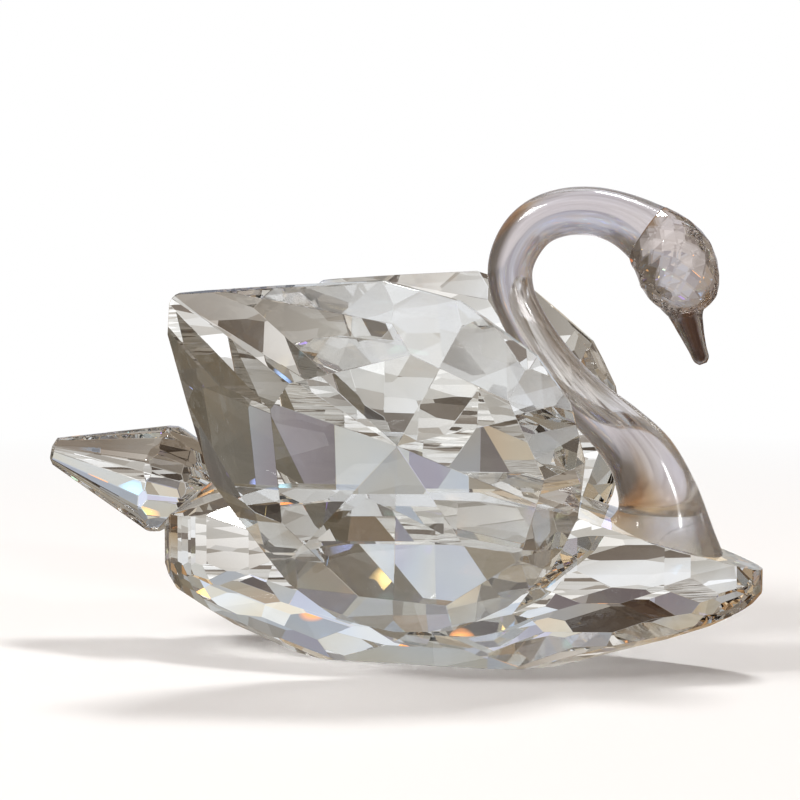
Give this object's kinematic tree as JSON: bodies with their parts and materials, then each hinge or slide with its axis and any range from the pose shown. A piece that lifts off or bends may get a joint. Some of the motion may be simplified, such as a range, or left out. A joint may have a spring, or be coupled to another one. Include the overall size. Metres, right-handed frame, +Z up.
{
  "type": "crystal swan figurine",
  "caption": "Swan figurine bonded from faceted cut-crystal stones, with a smooth curved crystal neck, a round head and a dark bill.",
  "frame": {"origin": "on the resting plane, under the middle of the overall box", "axes": "+X toward the breast, +Y to the swan's left, +Z up"},
  "size_m": [0.1601, 0.0952, 0.1013],
  "materials": {
    "cut_crystal": "cut and mirror polished",
    "drawn_crystal": "flame worked, fire polished",
    "bill_glass": "flame worked, fire polished",
    "clear_adhesive": "clear cured film"
  },
  "bodies": {
    "root": {"body": "cut_crystal", "right_wing": "cut_crystal", "left_wing": "cut_crystal", "tail": "cut_crystal", "neck": "drawn_crystal", "head": "drawn_crystal", "bill": "bill_glass", "right_wing_bond": "clear_adhesive", "left_wing_bond": "clear_adhesive", "tail_bond": "clear_adhesive", "neck_bond": "clear_adhesive"}
  },
  "joints": []
}
